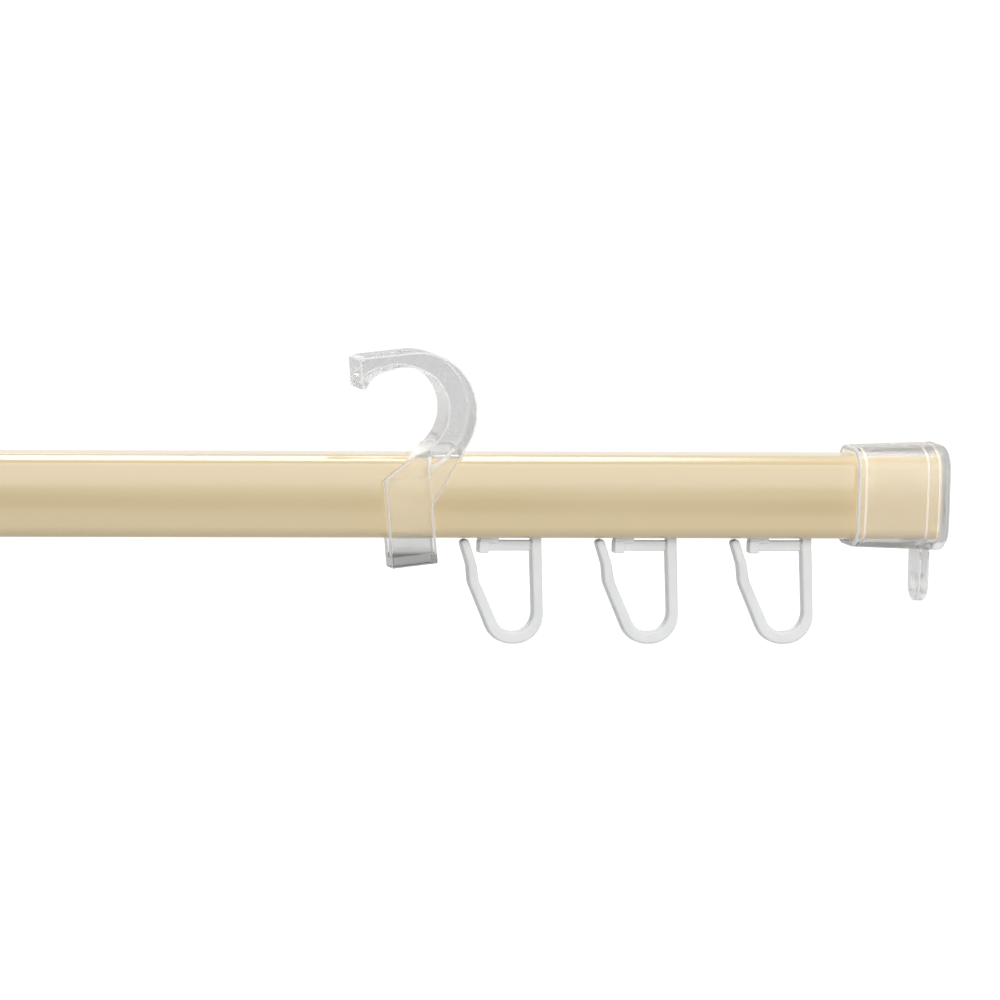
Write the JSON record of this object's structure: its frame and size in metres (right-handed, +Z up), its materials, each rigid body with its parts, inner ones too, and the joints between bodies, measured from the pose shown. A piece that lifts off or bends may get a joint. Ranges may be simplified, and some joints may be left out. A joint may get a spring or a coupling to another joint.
{
  "type": "curtain track",
  "caption": "Painted flat track with clear hooks that hang it from bracket arms, clear end caps and sliding curtain hooks.",
  "frame": {"origin": "centre of the right hook's bore, halfway through the hook", "axes": "+X along the track to its right end, +Z up, -Y the track's front"},
  "size_m": [0.5, 0.0192, 0.0706],
  "materials": {
    "painted_rail": "gloss",
    "clear_plastic": "gloss",
    "white_plastic": "satin"
  },
  "bodies": {
    "track": {"rail": "painted_rail", "end_cap_right": "clear_plastic", "end_cap_left": "clear_plastic", "hook_right": "clear_plastic", "hook_left": "clear_plastic"},
    "glider_1": {"glider_1": "white_plastic"},
    "glider_2": {"glider_2": "white_plastic"},
    "glider_3": {"glider_3": "white_plastic"},
    "glider_4": {"glider_4": "white_plastic"},
    "glider_5": {"glider_5": "white_plastic"},
    "glider_6": {"glider_6": "white_plastic"}
  },
  "joints": [
    {"name": "glider_1_slide", "type": "slide", "parent": "track", "child": "glider_1", "axis": [1, 0, 0], "range_m": [-0.01242, 0.00769]},
    {"name": "glider_2_slide", "type": "slide", "parent": "track", "child": "glider_2", "axis": [1, 0, 0], "range_m": [-0.01242, 0.01242]},
    {"name": "glider_3_slide", "type": "slide", "parent": "track", "child": "glider_3", "axis": [1, 0, 0], "range_m": [-0.25752, 0.01242]},
    {"name": "glider_4_slide", "type": "slide", "parent": "track", "child": "glider_4", "axis": [1, 0, 0], "range_m": [-0.01242, 0.25752]},
    {"name": "glider_5_slide", "type": "slide", "parent": "track", "child": "glider_5", "axis": [1, 0, 0], "range_m": [-0.01242, 0.01242]},
    {"name": "glider_6_slide", "type": "slide", "parent": "track", "child": "glider_6", "axis": [1, 0, 0], "range_m": [-0.01013, 0.01242]}
  ]
}
